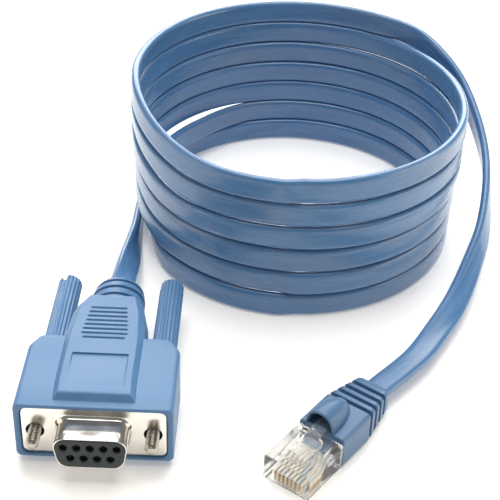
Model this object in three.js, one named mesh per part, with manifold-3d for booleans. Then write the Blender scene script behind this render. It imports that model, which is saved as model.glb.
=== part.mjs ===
// A flat console cable: a nine-way D-sub connector in a blue moulded hood, a coil of flat eight-wire
// cable standing on its edge, and an eight-way modular plug in a snagless boot.
// Millimetres, +Z up. The connector lies along Y with its mating face towards -Y.
// The origin is on the surface that everything stands on, under the middle of the connector.

import * as THREE from 'three';
import { mergeVertices } from 'three/addons/utils/BufferGeometryUtils.js';
import Module from 'manifold-3d';

const wasm = await Module();
wasm.setup();

// Clearances
const seatGap = 0.3;
const bladeGap = 0.15;

// The two screws fix the width of everything that they pass through.
const screwSpacing = 24.99;
const flangeOverhang = 2.91;
const hoodRim = 1.445;
const flangeWidth = screwSpacing + 2 * flangeOverhang;

// Hood
const hoodWidth = flangeWidth + 2 * hoodRim;
const shoulderHeight = 14.5;
const bodyRise = 1.4;
const shoulderLength = 24;
const shoulderEdge = 1.2;
const shoulderCornerX = 2.1;
const shoulderCornerY = 3.8;
const bodyStart = 2.0;
const bodyEnd = 37.8;
const bodyBevel = 1.2;
const bodyFrontHalf = 8.6;
const bodyWaistHalf = 8.9;
const bodyBackHalf = 7.0;
const bodyCornerLength = 3.6;
const reliefEnd = 51;
const reliefHalfWidth = 6.7;
const reliefHalfHeight = 5.9;
const reliefGroovePitch = 2.9;
const reliefGrooveWidth = 0.7;
const reliefGrooveDepth = 0.9;
const reliefGrooveCount = 3;
const gripGrooveStart = 21.7;
const gripGroovePitch = 1.54;
const gripGrooveCount = 8;
const gripGrooveWidth = 0.7;
const gripGrooveDepth = 0.35;
const gripGrooveFront = 10.6;
const gripGrooveBack = 8.2;
const labelWidth = 12.4;
const labelLength = 10.8;
const labelStart = 5.4;
const labelDepth = 0.3;

// Mating face
const flangeHeight = 12.55;
const flangeThickness = 0.8;
const flangeCorner = 2;
const flangeSetback = 0.5;
const skirtWidth = 16.33;
const skirtHeight = 7.9;
const skirtCorner = 2.6;
const skirtSlope = 10;
const skirtWall = 0.4;
const skirtReach = 6.1;
const insulatorTail = 3;
const contactPitch = 2.77;
const contactRowGap = 2.84;
const contactOuter = 0.68;
const contactBore = 0.5;
const contactDepth = 5;
const contactSetback = 0.6;

// Thumbscrews
const screwRadius = 1.42;
const screwHoleRadius = 1.72;
const screwReach = 4.5;
const screwThreadEnd = 8;
const shankRadius = 1.1;
const gripRadius = 2.9;
const gripRibs = 18;
const gripRibDepth = 0.22;
const gripSeatDepth = 4;
const gripReach = 28.8;
const shankDepth = 20;
const slotWidth = 1.5;
const slotDepth = 1.8;

// Flat cable
const cableWidth = 6.4;
const cableThickness = 2.3;
const coilTurns = 6;
const coilCentre = [43.2, 102.6];
const coilRadiusX = 44.0;
const coilRadiusY = 47.2;
const coilTaper = 0.9;
const coilHeightFront = 39.2;
const coilHeightBack = 36.2;
const coilSeam = 0.35;
const coilSegments = 52;

// Modular plug and its boot
const plugPlace = [40.8, -5.5];
const plugAngle = 35.5;
const plugWidth = 11.68;
const plugHeight = 6.6;
const plugLift = 0.4;
const plugFrontLength = 12.5;
const plugLength = 21.4;
const plugTailWidth = 9.4;
const plugTailHeight = 5.2;
const bladeCount = 8;
const bladePitch = 1.02;
const bladeThickness = 0.35;
const bladeLength = 5.4;
const bladeHeight = 2.5;
const bladeStart = 0.9;
const jacketStart = 9.2;
const latchWidth = 6.1;
const latchTailWidth = 3.2;
const latchThickness = 1.1;
const latchRoot = 1.4;
const latchStep = 8.6;
const latchEnd = 18.5;
const latchRise = 2.3;
const bootEnd = 34.4;
const bootHeight = 8;
const bootStraight = 10.6;
const bootEndHalf = 3.9;
const bootEndHeight = 5.4;
const bootGrooveCount = 4;
const bootGroovePitch = 2.4;
const bootCollar = 3.2;
const bootGrooveWidth = 0.9;
const bootGrooveDepth = 0.8;
const coverWidth = 7.4;
const coverHeight = 4.3;
const coverLength = 10;
const coverStraight = 2.4;
const coverWall = 0.75;
const tunnelLength = 6.2;

// Colours of the materials
const hoodBlue = new THREE.MeshStandardMaterial({ color: 0x6f9bd3, roughness: 0.5, metalness: 0 });
const cableBlue = new THREE.MeshStandardMaterial({ color: 0x4f7fba, roughness: 0.3, metalness: 0 });
const nickel = new THREE.MeshStandardMaterial({ color: 0xc9c6bf, roughness: 0.25, metalness: 1 });
const gold = new THREE.MeshStandardMaterial({ color: 0xd9ab4e, roughness: 0.25, metalness: 1 });
const darkPlastic = new THREE.MeshStandardMaterial({ color: 0x3e4848, roughness: 0.55, metalness: 0 });
const clearPlastic = new THREE.MeshStandardMaterial({
  color: 0xdfe8ee, roughness: 0.1, metalness: 0, transparent: true, opacity: 0.45,
});

const axisHeight = shoulderHeight / 2 + bodyRise;
const bodyHeight = shoulderHeight + 2 * bodyRise;
const screwX = screwSpacing / 2;
const degrees = THREE.MathUtils.degToRad;

// Turns a closed geometry into a solid for joining and cutting.
function solid(geometry) {
  const plain = geometry.clone();
  plain.deleteAttribute('normal');
  plain.deleteAttribute('uv');
  const merged = mergeVertices(plain, 1e-4);
  const mesh = new wasm.Mesh({
    numProp: 3,
    vertProperties: new Float32Array(merged.attributes.position.array),
    triVerts: new Uint32Array(merged.index.array),
  });
  return new wasm.Manifold(mesh);
}

function toGeometry(manifold) {
  const mesh = manifold.getMesh();
  const geometry = new THREE.BufferGeometry();
  geometry.setAttribute('position', new THREE.BufferAttribute(new Float32Array(mesh.vertProperties), 3));
  geometry.setIndex(new THREE.BufferAttribute(new Uint32Array(mesh.triVerts), 1));
  geometry.computeVertexNormals();
  return geometry;
}

function join(...geometries) {
  return geometries.map(solid).reduce((whole, next) => whole.add(next));
}

function cut(whole, ...geometries) {
  return geometries.map(solid).reduce((left, next) => left.subtract(next), whole);
}

// A polygon with its corners rounded by one radius, sampled as points.
function roundedPolygon(corners, radius, steps = 4) {
  const points = [];
  corners.forEach((corner, i) => {
    const here = new THREE.Vector2(...corner);
    const before = new THREE.Vector2(...corners.at(i - 1)).sub(here).normalize();
    const after = new THREE.Vector2(...corners[(i + 1) % corners.length]).sub(here).normalize();
    const half = Math.acos(THREE.MathUtils.clamp(before.dot(after), -1, 1)) / 2;
    const reach = radius / Math.tan(half);
    const middle = before.clone().add(after).normalize().multiplyScalar(radius / Math.sin(half)).add(here);
    const first = before.clone().multiplyScalar(reach).add(here).sub(middle);
    const last = after.clone().multiplyScalar(reach).add(here).sub(middle);
    const sweep = Math.atan2(first.x * last.y - first.y * last.x, first.dot(last));
    for (let k = 0; k <= steps; k++) {
      const turned = first.clone().rotateAround(new THREE.Vector2(), (sweep * k) / steps);
      points.push(turned.add(middle));
    }
  });
  return new THREE.Shape(points);
}

function rectangle(width, height, z = 0) {
  const x = width / 2;
  return [[-x, z - height / 2], [x, z - height / 2], [x, z + height / 2], [-x, z + height / 2]];
}

function roundedRectangle(width, height, radius, z = 0, steps = 3) {
  return roundedPolygon(rectangle(width, height, z), radius, steps);
}

function bevelledRectangle(width, height, bevel, z = 0) {
  return roundedPolygon(rectangle(width, height, z), bevel, 1);
}

// The D outline of the mating face: the long side on top, the ends sloping inwards.
function dOutline(width, height, radius, z) {
  const lean = height * Math.tan(degrees(skirtSlope));
  const top = width / 2;
  const low = top - lean;
  const corners = [[-low, z - height / 2], [low, z - height / 2], [top, z + height / 2], [-top, z + height / 2]];
  return roundedPolygon(corners, radius, 5);
}

function polygon(points) {
  return new THREE.Shape(points.map(([x, y]) => new THREE.Vector2(x, y)));
}

// An outline drawn as X and Z, pushed along Y.
function alongY(shape, start, end) {
  const geometry = new THREE.ExtrudeGeometry(shape, { depth: end - start, bevelEnabled: false });
  return geometry.rotateX(Math.PI / 2).translate(0, end, 0);
}

// An outline drawn as X and Y, pushed along Z.
function alongZ(shape, start, end) {
  const geometry = new THREE.ExtrudeGeometry(shape, { depth: end - start, bevelEnabled: false });
  return geometry.translate(0, 0, start);
}

// An outline drawn as Y and Z, pushed along X, both ways from the middle.
function alongX(shape, width) {
  const geometry = new THREE.ExtrudeGeometry(shape, { depth: width, bevelEnabled: false });
  const turned = new THREE.Matrix4().makeBasis(
    new THREE.Vector3(0, 1, 0), new THREE.Vector3(0, 0, 1), new THREE.Vector3(1, 0, 0));
  return geometry.applyMatrix4(turned).translate(-width / 2, 0, 0);
}

function rod(radius, start, end, x, z, sides = 28) {
  const geometry = new THREE.CylinderGeometry(radius, radius, end - start, sides);
  return geometry.translate(x, (start + end) / 2, z);
}

function box(width, length, height, x, y, z) {
  return new THREE.BoxGeometry(width, length, height).translate(x, y, z);
}

function place(group, name, geometry, material) {
  const mesh = new THREE.Mesh(geometry, material);
  mesh.name = name;
  group.add(mesh);
}

const connector = new THREE.Group();
const plug = new THREE.Group();
const cord = new THREE.Group();
const cable = new THREE.Group();
cable.add(connector, plug, cord);

// Hood: shoulders with cut corners, a raised body that narrows to the back, and a round ribbed relief.
const half = hoodWidth / 2;
const shoulderPlan = polygon([
  [-half, 0], [half, 0], [half, shoulderLength - shoulderCornerY],
  [half - shoulderCornerX, shoulderLength], [-half + shoulderCornerX, shoulderLength],
  [-half, shoulderLength - shoulderCornerY],
]);
const shoulderFront = bevelledRectangle(hoodWidth, shoulderHeight, shoulderEdge, axisHeight);
const shoulders = solid(alongY(shoulderFront, 0, shoulderLength))
  .intersect(solid(alongZ(shoulderPlan, 0, bodyHeight)));

const bodyPlan = polygon([
  [-bodyFrontHalf, bodyStart], [bodyFrontHalf, bodyStart], [bodyWaistHalf, shoulderLength],
  [bodyWaistHalf, bodyEnd - bodyCornerLength], [bodyBackHalf, bodyEnd], [-bodyBackHalf, bodyEnd],
  [-bodyWaistHalf, bodyEnd - bodyCornerLength], [-bodyWaistHalf, shoulderLength],
]);
const bodySide = polygon([
  [bodyStart, bodyRise], [bodyStart + bodyBevel, 0], [bodyEnd - bodyBevel, 0], [bodyEnd, bodyBevel],
  [bodyEnd, bodyHeight - bodyBevel], [bodyEnd - bodyBevel, bodyHeight],
  [bodyStart + bodyBevel, bodyHeight], [bodyStart, bodyHeight - bodyRise],
]);
const bodyFront = bevelledRectangle(2 * bodyWaistHalf, bodyHeight, bodyRise, axisHeight);
const body = solid(alongY(bodyFront, bodyStart, bodyEnd))
  .intersect(solid(alongZ(bodyPlan, 0, bodyHeight)))
  .intersect(solid(alongX(bodySide, hoodWidth)));

// The relief is turned about the cable's axis, then pressed to an oval.
const reliefProfile = [[0, bodyEnd - bodyBevel - 1], [reliefHalfWidth, bodyEnd - bodyBevel - 1]];
for (let i = 0; i < reliefGrooveCount; i++) {
  const y = bodyEnd + 1.2 + i * reliefGroovePitch;
  const floor = reliefHalfWidth - reliefGrooveDepth;
  reliefProfile.push([reliefHalfWidth, y], [floor, y], [floor, y + reliefGrooveWidth],
    [reliefHalfWidth, y + reliefGrooveWidth]);
}
const reliefShoulder = bodyEnd + 1.2 + reliefGrooveCount * reliefGroovePitch;
reliefProfile.push([reliefHalfWidth, reliefShoulder - 1.2], [reliefHalfWidth - 0.9, reliefShoulder + 1],
  [reliefHalfWidth - 2.6, reliefEnd], [0, reliefEnd]);
const relief = new THREE.LatheGeometry(reliefProfile.map(([r, y]) => new THREE.Vector2(r, y)), 36)
  .scale(1, 1, reliefHalfHeight / reliefHalfWidth)
  .translate(0, 0, axisHeight);

const flangeBack = flangeSetback + flangeThickness;
const insulatorBack = flangeBack + insulatorTail;
const insulatorWidth = skirtWidth - 2 * skirtWall - 2 * seatGap;
const insulatorHeight = skirtHeight - 2 * skirtWall - 2 * seatGap;
const insulatorCorner = skirtCorner - skirtWall - seatGap;
const hoodCuts = [
  alongY(roundedRectangle(flangeWidth + 2 * seatGap, flangeHeight + 2 * seatGap, flangeCorner, axisHeight),
    -1, flangeBack + seatGap),
  alongY(dOutline(insulatorWidth + 2 * seatGap, insulatorHeight + 2 * seatGap, insulatorCorner + seatGap,
    axisHeight), 0, insulatorBack + seatGap),
];
for (const x of [-screwX, screwX]) {
  hoodCuts.push(rod(screwHoleRadius, 0, shoulderLength + 1, x, axisHeight));
  hoodCuts.push(rod(gripRadius + seatGap, shoulderLength - gripSeatDepth - seatGap, shoulderLength + 1, x,
    axisHeight, 36));
}
const grooveRun = (gripGrooveCount - 1) * gripGroovePitch;
for (const side of [-1, 1]) {
  const face = axisHeight + side * bodyHeight / 2;
  for (let i = 0; i < gripGrooveCount; i++) {
    const share = (i * gripGroovePitch) / grooveRun;
    const width = THREE.MathUtils.lerp(gripGrooveFront, gripGrooveBack, share);
    hoodCuts.push(box(width, gripGrooveWidth, 2 * gripGrooveDepth, 0, gripGrooveStart + i * gripGroovePitch,
      face));
  }
}
hoodCuts.push(box(labelWidth, labelLength, 2 * labelDepth, 0, labelStart + labelLength / 2, bodyHeight));

// Flat cable: a section with round edges, and a curve that also turns the section as it goes.
const cordStart = reliefEnd - 6;
const cordSection = roundedRectangle(cableWidth, cableThickness, cableThickness / 2 - 0.01, 0, 2);

class FlatRoute extends THREE.CatmullRomCurve3 {
  constructor(stations) {
    super(stations.map(([x, y, z]) => new THREE.Vector3(x, y, z)), false, 'centripetal');
    this.turns = stations.map((station) => station[3]);
  }

  turnAt(share) {
    const lengths = this.getLengths(200);
    const total = lengths.at(-1);
    const last = this.turns.length - 1;
    const marks = this.turns.map((_, i) => lengths[Math.round((i / last) * 200)] / total);
    const after = Math.min(last, Math.max(1, marks.findIndex((mark) => mark >= share)));
    const part = (share - marks[after - 1]) / (marks[after] - marks[after - 1]);
    return degrees(THREE.MathUtils.lerp(this.turns[after - 1], this.turns[after], part));
  }

  computeFrenetFrames(steps) {
    const tangents = [];
    const normals = [];
    const binormals = [];
    const up = new THREE.Vector3(0, 0, 1);
    for (let i = 0; i <= steps; i++) {
      const tangent = this.getTangentAt(i / steps);
      const side = new THREE.Vector3().crossVectors(tangent, up).normalize();
      const rise = new THREE.Vector3().crossVectors(side, tangent);
      const turn = this.turnAt(i / steps);
      const normal = rise.multiplyScalar(Math.cos(turn)).addScaledVector(side, Math.sin(turn));
      tangents.push(tangent);
      normals.push(normal);
      binormals.push(new THREE.Vector3().crossVectors(tangent, normal));
    }
    return { tangents, normals, binormals };
  }
}

function flatCord(stations, steps) {
  const route = new FlatRoute(stations);
  return new THREE.ExtrudeGeometry(cordSection, { steps, bevelEnabled: false, extrudePath: route });
}

const leadTurn = 62;
const leadStations = [
  [0, cordStart, axisHeight, leadTurn], [0, reliefEnd, axisHeight, leadTurn], [0.1, reliefEnd + 7, 7.2, 54],
  [0.1, 67, 5.2, 40], [0, 75, 4.1, 22], [0.3, 82, 3.6, 6], [0.75, 86.2, 3.5, 0],
];
const cordHole = roundedRectangle(cableWidth + 2 * seatGap, cableThickness + 2 * seatGap, 1);
hoodCuts.push(alongY(cordHole, cordStart - seatGap, reliefEnd + 1).rotateY(degrees(leadTurn - 90))
  .translate(0, 0, axisHeight));

place(connector, 'connector_hood', toGeometry(cut(shoulders.add(body).add(solid(relief)), ...hoodCuts)),
  hoodBlue);

// Shell: the flange plate with its screw holes, and the skirt around the insulator.
const skirt = dOutline(skirtWidth, skirtHeight, skirtCorner, axisHeight);
const skirtInside = dOutline(skirtWidth - 2 * skirtWall, skirtHeight - 2 * skirtWall, skirtCorner - skirtWall,
  axisHeight);
const flange = alongY(roundedRectangle(flangeWidth, flangeHeight, flangeCorner, axisHeight), flangeSetback,
  flangeBack);
const shell = cut(join(flange, alongY(skirt, -skirtReach, flangeBack)),
  alongY(skirtInside, -skirtReach - 1, flangeBack + 1),
  rod(screwHoleRadius, 0, flangeBack + 1, -screwX, axisHeight),
  rod(screwHoleRadius, 0, flangeBack + 1, screwX, axisHeight));
place(connector, 'connector_front_shell', toGeometry(shell), nickel);

// Insulator: one block with a row of five holes over a row of four, and a contact in each.
const contactPlaces = [];
for (const [count, row] of [[5, 0.5], [4, -0.5]]) {
  for (let i = 0; i < count; i++) {
    contactPlaces.push([(i - (count - 1) / 2) * contactPitch, axisHeight + row * contactRowGap]);
  }
}
const insulatorFront = -skirtReach;
const contactFront = insulatorFront + contactSetback;
const insulator = alongY(dOutline(insulatorWidth, insulatorHeight, insulatorCorner, axisHeight),
  insulatorFront, insulatorBack);
const contactHoles = contactPlaces.map(([x, z]) => rod(contactOuter + bladeGap, insulatorFront - 1,
  contactFront + contactDepth + bladeGap, x, z, 14));
place(connector, 'connector_insulator', toGeometry(cut(solid(insulator), ...contactHoles)), darkPlastic);
contactPlaces.forEach(([x, z], i) => {
  const sleeve = [[0, contactDepth], [contactOuter, contactDepth], [contactOuter, 0], [contactBore, 0],
    [contactBore, contactDepth - 1], [0, contactDepth - 1]].reverse();
  const geometry = new THREE.LatheGeometry(sleeve.map(([r, y]) => new THREE.Vector2(r, y)), 12);
  place(connector, `socket_contact_${i + 1}`, geometry.translate(x, contactFront, z), gold);
});

// Thumbscrews: a steel screw through the hood, and a fluted grip on its shank.
const gripFront = shoulderLength - gripSeatDepth;
const gripBack = gripFront + gripSeatDepth + gripReach;
const shankEnd = gripFront + shankDepth;
const screwProfile = [[0, -screwReach], [screwRadius - 0.4, -screwReach], [screwRadius, -screwReach + 0.4],
  [screwRadius, screwThreadEnd], [shankRadius, screwThreadEnd + 0.3], [shankRadius, shankEnd], [0, shankEnd]];
const flutes = [];
for (let i = 0; i < gripRibs; i++) {
  for (const [offset, radius] of [[-0.25, gripRadius], [0.1, gripRadius], [0.42, gripRadius - gripRibDepth]]) {
    const angle = ((i + offset) / gripRibs) * 2 * Math.PI;
    flutes.push([radius * Math.cos(angle), radius * Math.sin(angle)]);
  }
}
const gripBlank = alongY(polygon(flutes), gripFront, gripBack);
const gripTurned = new THREE.LatheGeometry([[0, gripFront], [gripRadius, gripFront],
  [gripRadius, gripBack - 0.8], [gripRadius - 0.8, gripBack], [0, gripBack],
].map(([r, y]) => new THREE.Vector2(r, y)), 36);
const gripSlot = box(slotWidth, slotDepth, 3 * gripRadius, 0, gripBack - slotDepth / 2 + 0.01, 0);
const shankHole = rod(shankRadius + bladeGap, gripFront - 1, shankEnd + bladeGap, 0, 0, 20);
for (const [side, x, turn] of [['left', -screwX, 62], ['right', screwX, 8]]) {
  const screw = new THREE.LatheGeometry(screwProfile.map(([r, y]) => new THREE.Vector2(r, y)), 24);
  place(connector, `jackscrew_${side}`, screw.translate(x, 0, axisHeight), nickel);
  const grip = cut(solid(gripBlank).intersect(solid(gripTurned)), gripSlot, shankHole);
  place(connector, `thumbscrew_grip_${side}`,
    toGeometry(grip).rotateY(degrees(turn)).translate(x, 0, axisHeight), hoodBlue);
}

// Modular plug: drawn with its nose at Y = 0 and its latch on top, then turned to where it lies.
const plugMiddle = plugLift + plugHeight / 2;
const plugTop = plugLift + plugHeight;
const latchSide = polygon([
  [latchRoot, plugTop - 0.5], [latchRoot + 2, plugTop - 0.5], [latchRoot + 2.4, plugTop + 0.5],
  [latchEnd, plugTop + latchRise - latchThickness], [latchEnd, plugTop + latchRise],
  [latchStep, plugTop + latchRise], [latchStep, plugTop + latchRise - 0.5],
  [latchRoot, plugTop + latchThickness - 0.2],
]);
const latchPlan = polygon([
  [-latchWidth / 2, 0], [latchWidth / 2, 0], [latchWidth / 2, latchStep], [latchTailWidth / 2, latchStep + 0.8],
  [latchTailWidth / 2, latchEnd + 1], [-latchTailWidth / 2, latchEnd + 1],
  [-latchTailWidth / 2, latchStep + 0.8], [-latchWidth / 2, latchStep],
]);
const latch = solid(alongX(latchSide, latchWidth))
  .intersect(solid(alongZ(latchPlan, 0, plugTop + latchRise + 1)));
const plugFront = alongY(bevelledRectangle(plugWidth, plugHeight, 0.35, plugMiddle), 0, plugFrontLength);
const plugTail = alongY(bevelledRectangle(plugTailWidth, plugTailHeight, 0.35, plugMiddle),
  plugFrontLength - 1, plugLength);
const boreShape = roundedRectangle(cableWidth + 2 * seatGap, cableThickness + 2 * seatGap, 1, plugMiddle);
const bladeX = (i) => (i - (bladeCount - 1) / 2) * bladePitch;
const bladeMiddle = bladeStart + bladeLength / 2;
const bladeSlots = [];
for (let i = 0; i < bladeCount; i++) {
  bladeSlots.push(box(bladeThickness + 2 * bladeGap, bladeLength + 2 * bladeGap, 2 * (bladeHeight + bladeGap),
    bladeX(i), bladeMiddle, plugLift));
}
const plugBody = cut(solid(plugFront).add(solid(plugTail)).add(latch),
  alongY(boreShape, jacketStart - seatGap, plugLength + 1), ...bladeSlots);
place(plug, 'plug_body', toGeometry(plugBody), clearPlastic);
for (let i = 0; i < bladeCount; i++) {
  const blade = box(bladeThickness, bladeLength, bladeHeight - 0.3, bladeX(i), bladeMiddle,
    plugLift + 0.3 + (bladeHeight - 0.3) / 2);
  place(plug, `plug_contact_${i + 1}`, blade, gold);
}

// Boot: a sleeve on the plug's tail that narrows to the back, with grooves, and a cover over the latch.
const bootStart = plugFrontLength + seatGap;
const bootTop = bootHeight;
const bootShape = roundedRectangle(plugWidth, bootHeight, 1, bootHeight / 2);
const bootPlan = polygon([
  [-plugWidth / 2, bootStart], [plugWidth / 2, bootStart], [plugWidth / 2, bootStart + bootStraight],
  [bootEndHalf, bootEnd], [-bootEndHalf, bootEnd], [-plugWidth / 2, bootStart + bootStraight],
]);
const bootDrop = (bootHeight - bootEndHeight) / 2;
const bootSide = polygon([
  [bootStart, 0], [bootStart + bootStraight, 0], [bootEnd, bootDrop], [bootEnd, bootTop - bootDrop],
  [bootStart + bootStraight, bootTop], [bootStart, bootTop],
]);
const bootCore = solid(alongY(bootShape, bootStart, bootEnd))
  .intersect(solid(alongZ(bootPlan, -1, bootTop + 1)))
  .intersect(solid(alongX(bootSide, 2 * plugWidth)));
const bootCuts = [];
for (let i = 0; i < bootGrooveCount; i++) {
  const y = bootEnd - bootCollar - i * bootGroovePitch;
  const share = (bootEnd - y) / (bootEnd - bootStart - bootStraight);
  const groove = THREE.MathUtils.lerp(bootEndHalf, plugWidth / 2, share) - bootGrooveDepth;
  const drop = THREE.MathUtils.lerp(bootDrop, 0, share) + bootGrooveDepth;
  const ring = solid(box(2 * plugWidth, bootGrooveWidth, 2 * bootHeight, 0, y, bootHeight / 2));
  bootCuts.push(ring.subtract(solid(box(2 * groove, bootGrooveWidth + 1, bootHeight - 2 * drop, 0, y,
    bootHeight / 2))));
}
function arch(width, height, start, end) {
  const points = [[-width / 2, bootTop - 1.5], [width / 2, bootTop - 1.5]];
  for (let k = 0; k <= 10; k++) {
    const angle = (k / 10) * Math.PI;
    points.push([(width / 2) * Math.cos(angle), bootTop + height * Math.sin(angle) ** 0.8]);
  }
  return alongY(polygon(points), start, end);
}
// The cover ends in a quarter round, both from the side and from above.
const coverSide = [[bootStart, 0], [bootStart, bootTop + coverHeight]];
const coverPlan = [[-coverWidth / 2, bootStart], [coverWidth / 2, bootStart]];
for (let k = 0; k <= 8; k++) {
  const angle = (k / 8) * (Math.PI / 2);
  const y = bootStart + coverStraight + (coverLength - coverStraight) * Math.sin(angle);
  coverSide.push([y, bootTop + coverHeight * Math.cos(angle)]);
}
coverSide.push([bootStart + coverLength, 0]);
for (let k = 0; k <= 16; k++) {
  const angle = (k / 16) * Math.PI;
  const y = bootStart + coverStraight + (coverLength - coverStraight) * Math.sin(angle) ** 0.8;
  coverPlan.push([(coverWidth / 2) * Math.cos(angle), y]);
}
const cover = solid(arch(coverWidth, coverHeight, bootStart, bootStart + coverLength))
  .intersect(solid(alongX(polygon(coverSide), plugWidth)))
  .intersect(solid(alongZ(polygon(coverPlan), 0, bootTop + coverHeight + 1)));
const tunnel = solid(arch(coverWidth - 2 * coverWall, coverHeight - coverWall, bootStart - 1,
  bootStart + tunnelLength)).subtract(solid(box(plugWidth, 60, 2 * bootTop, 0, bootStart, -0.6)));
const socketShape = roundedRectangle(plugTailWidth + 2 * seatGap, plugTailHeight + 2 * seatGap, 0.4,
  plugMiddle);
const boot = cut(bootCuts.reduce((left, ring) => left.subtract(ring), bootCore.add(cover)),
  alongY(socketShape, bootStart - 1, plugLength + seatGap), alongY(boreShape, plugLength, bootEnd + 1))
  .subtract(tunnel);
place(plug, 'plug_boot', toGeometry(boot), hoodBlue);
plug.position.set(plugPlace[0], plugPlace[1], 0);
plug.rotation.z = -degrees(plugAngle);

// Coil: a ring with a seam at each turn, oval in plan, a little wider on top and higher in front.
function settle(x, y, z) {
  const share = z / coilTurns;
  const spread = 1 + (share - 0.5) * (coilTaper / coilRadiusX);
  const placeY = coilCentre[1] + y * coilRadiusY * spread;
  const slope = THREE.MathUtils.lerp(coilHeightFront, coilHeightBack, y / 2 + 0.5);
  return new THREE.Vector3(coilCentre[0] + x * coilRadiusX * spread, placeY, share * slope);
}
const wall = cableThickness / coilRadiusX;
const seam = coilSeam / coilRadiusX;
const ringProfile = [[1 - wall + seam, 0], [1 - seam, 0]];
for (let i = 0; i < coilTurns; i++) {
  ringProfile.push([1, i + 0.08], [1, i + 0.92], [1 - seam, i + 1]);
}
for (let i = coilTurns; i > 0; i--) {
  ringProfile.push([1 - wall + seam, i], [1 - wall, i - 0.08], [1 - wall, i - 0.92]);
}
ringProfile.push([1 - wall + seam, 0]);
const ring = new THREE.LatheGeometry(ringProfile.map(([r, h]) => new THREE.Vector2(r, h)), coilSegments);
ring.rotateX(Math.PI / 2);
const ringPlaces = ring.attributes.position;
for (let i = 0; i < ringPlaces.count; i++) {
  const spot = settle(ringPlaces.getX(i), ringPlaces.getY(i), ringPlaces.getZ(i));
  ringPlaces.setXYZ(i, spot.x, spot.y, spot.z);
}
place(cord, 'cable_coil', ring, cableBlue);
place(cord, 'cable_lead_connector', flatCord(leadStations, 16), cableBlue);

// The last turn rests on the ring, leaves it at the back right and comes round to the plug.
const topStations = [];
for (let angle = 178; angle >= 58; angle -= 12) {
  const x = Math.cos(degrees(angle)) * (1 - wall / 2);
  const y = Math.sin(degrees(angle)) * (1 - wall / 2);
  const spot = settle(x, y, coilTurns);
  topStations.push([spot.x, spot.y, spot.z + seatGap + cableWidth / 2 + 0.1, 0]);
}
const plugAxis = new THREE.Vector2(Math.sin(degrees(plugAngle)), Math.cos(degrees(plugAngle)));
const along = (y) => [plugPlace[0] + plugAxis.x * y, plugPlace[1] + plugAxis.y * y, plugMiddle, 90];
topStations.push(
  [72.9, 140.6, 40.1, 0], [78.8, 137.4, 38.6, 0], [84, 132.8, 35.2, 0], [89.4, 126, 30.2, 0],
  [93.2, 117.2, 24.6, 2], [95.4, 108, 19.2, 6], [95.6, 99, 14.8, 12], [94.4, 90, 11, 20],
  [92.2, 81.5, 8.4, 30], [89.2, 72.5, 6.6, 42],
  [85.8, 63.2, 5.4, 55], [81.7, 53.8, 4.5, 68], [77, 45, 4.0, 80], [71.9, 36.2, 3.8, 88],
  along(bootEnd + 1.5), along(plugLength + 4), along(plugLength - 4), along(jacketStart),
);
place(cord, 'cable_lead_plug', flatCord(topStations, 64), cableBlue);

// The origin goes under the middle of the connector, from its skirt to its furthest end.
const connectorBack = Math.max(reliefEnd, gripBack);
cable.position.y = -(connectorBack - skirtReach) / 2;

export default cable;
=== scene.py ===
# %% [markdown]
# # A coiled console cable
# The object is a flat blue data cable with two different ends: a nine-way D-sub connector in a moulded
# hood, and a clear modular plug in a soft boot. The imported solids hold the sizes. This script dresses
# them: each visible piece gets a finely curved surface and a finish of its own. Lengths below are in
# millimetres, measured from the hood's front edge, and are turned into metres when a mesh is made.

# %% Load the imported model
import math
import bmesh
import bpy
import numpy as np
from mathutils import Matrix, Vector
from mathutils.geometry import delaunay_2d_cdt


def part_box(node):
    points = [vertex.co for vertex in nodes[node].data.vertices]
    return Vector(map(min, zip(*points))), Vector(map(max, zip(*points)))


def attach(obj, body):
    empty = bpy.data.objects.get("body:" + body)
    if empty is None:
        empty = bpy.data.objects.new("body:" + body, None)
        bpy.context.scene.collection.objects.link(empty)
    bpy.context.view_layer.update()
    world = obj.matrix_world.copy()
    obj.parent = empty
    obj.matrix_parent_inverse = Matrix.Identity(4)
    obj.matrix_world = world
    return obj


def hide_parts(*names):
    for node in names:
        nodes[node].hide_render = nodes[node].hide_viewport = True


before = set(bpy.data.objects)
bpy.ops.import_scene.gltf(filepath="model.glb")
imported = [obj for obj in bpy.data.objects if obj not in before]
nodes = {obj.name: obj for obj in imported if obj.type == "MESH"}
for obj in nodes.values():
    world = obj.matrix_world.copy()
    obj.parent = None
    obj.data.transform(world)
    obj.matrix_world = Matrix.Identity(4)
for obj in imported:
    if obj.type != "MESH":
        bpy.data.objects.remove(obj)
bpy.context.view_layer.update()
MM = 0.001
BODY = "connector_and_cable"
SKIRT_FRONT = -6.1
FRONT_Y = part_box("connector_front_shell")[0][1] / MM - SKIRT_FRONT
AXIS_Z = 8.65
print(f"hood front at y = {FRONT_Y:.2f} mm, {len(nodes)} nodes")

# %% [markdown]
# ## Camera
# The photograph looks down at about 35 degrees from in front of the connector, a little to its right.
# The camera's place, turn and focal length were solved from points whose real size is standard: the
# nine contact holes, the screws and the flange. With the same camera, the render can be laid over the
# photograph.

# %% The camera at the photograph's angle
def aim(place, turn, pitch, roll):
    """Camera axes from a turn to the right, a pitch downwards and a roll, all in radians."""
    forward = np.array([math.sin(turn) * math.cos(pitch), math.cos(turn) * math.cos(pitch), -math.sin(pitch)])
    right = np.array([math.cos(turn), -math.sin(turn), 0.0])
    up = np.cross(right, forward)
    right, up = (math.cos(roll) * right + math.sin(roll) * up,
                 math.cos(roll) * up - math.sin(roll) * right)
    matrix = Matrix.Identity(4)
    for row in range(3):
        matrix[row][0], matrix[row][1], matrix[row][2] = right[row], up[row], -forward[row]
        matrix[row][3] = place[row] * MM
    return matrix


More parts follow.
